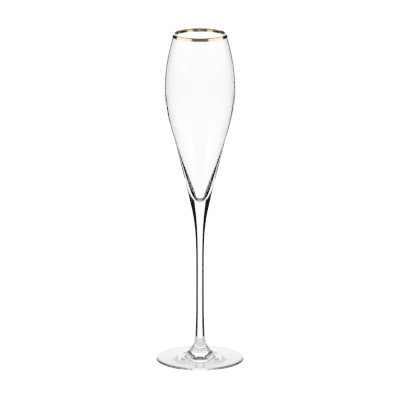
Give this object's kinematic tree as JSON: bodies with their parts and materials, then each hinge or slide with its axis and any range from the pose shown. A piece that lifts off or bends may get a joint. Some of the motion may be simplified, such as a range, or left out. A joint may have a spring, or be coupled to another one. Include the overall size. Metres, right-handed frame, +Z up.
{
  "type": "champagne flute",
  "caption": "Tall clear glass flute with a tulip bowl, a slim drawn stem, a round foot with a raised cone, and a gold band over the lip.",
  "frame": {"origin": "centre of the foot, on the surface that the flute stands on", "axes": "+Z up along the axis of revolution, from the foot to the lip; X and Y are free, since the flute is round"},
  "size_m": [0.0704, 0.0704, 0.2671],
  "materials": {
    "gold": "fired bright gold, brushed on by hand",
    "bowl_glass": "clear blown crystal glass, fire polished",
    "stem_glass": "clear drawn crystal glass, fire polished",
    "foot_glass": "clear pressed crystal glass, fire polished"
  },
  "bodies": {
    "root": {"gold_rim": "gold", "bowl": "bowl_glass", "stem": "stem_glass", "foot": "foot_glass"}
  },
  "joints": []
}
